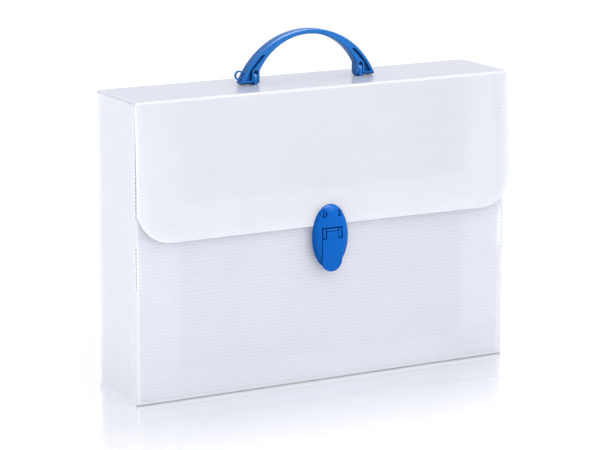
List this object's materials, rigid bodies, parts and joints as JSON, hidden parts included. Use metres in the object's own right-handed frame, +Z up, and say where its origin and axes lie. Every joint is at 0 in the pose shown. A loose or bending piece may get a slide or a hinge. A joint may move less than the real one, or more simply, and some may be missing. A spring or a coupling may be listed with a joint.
{
  "type": "drawing portfolio case",
  "caption": "Upright carrying case of folded translucent twin-wall plastic sheet, with a folding arch handle on its lid and an oval lever clasp that holds the closing flap.",
  "frame": {"origin": "on the surface the case stands on, under the middle of the box", "axes": "+X along the case, +Y from the front with the flap to the back, +Z up"},
  "size_m": [0.38, 0.0879, 0.3165],
  "materials": {
    "sheet": "translucent, faintly ribbed",
    "hardware": "moulded, glossy"
  },
  "bodies": {
    "case": {"back_panel": "sheet", "bottom_panel": "sheet", "front_panel": "sheet", "side_left": "sheet", "side_right": "sheet", "inner_side_left": "sheet", "inner_side_right": "sheet", "dust_flap_left": "sheet", "dust_flap_right": "sheet", "keeper": "hardware", "keeper_backing": "hardware", "keeper_rivets": "hardware"},
    "lid": {"top_panel": "sheet", "handle_anchor_left": "hardware", "handle_anchor_right": "hardware"},
    "handle": {"handle": "hardware", "handle_pin_left": "hardware", "handle_pin_right": "hardware"},
    "flap": {"flap_panel": "sheet", "clasp_housing": "hardware", "clasp_screws": "hardware", "clasp_backing": "hardware", "clasp_pin": "hardware"},
    "lever": {"clasp_lever": "hardware"}
  },
  "joints": [
    {"name": "lid_hinge", "type": "hinge", "parent": "case", "child": "lid", "pos_m": [0, 0.038, 0.27], "axis": [-1, 0, 0], "range_deg": [0, 100]},
    {"name": "handle_fold", "type": "hinge", "parent": "lid", "child": "handle", "pos_m": [0, 0, 0.276], "axis": [1, 0, 0], "range_deg": [-90, 90]},
    {"name": "flap_hinge", "type": "hinge", "parent": "lid", "child": "flap", "pos_m": [0, -0.0415, 0.27], "axis": [-1, 0, 0], "range_deg": [0, 180]},
    {"name": "clasp_lever_hinge", "type": "hinge", "parent": "flap", "child": "lever", "pos_m": [0, -0.04744, 0.1407], "axis": [-1, 0, 0], "range_deg": [0, 100]}
  ]
}
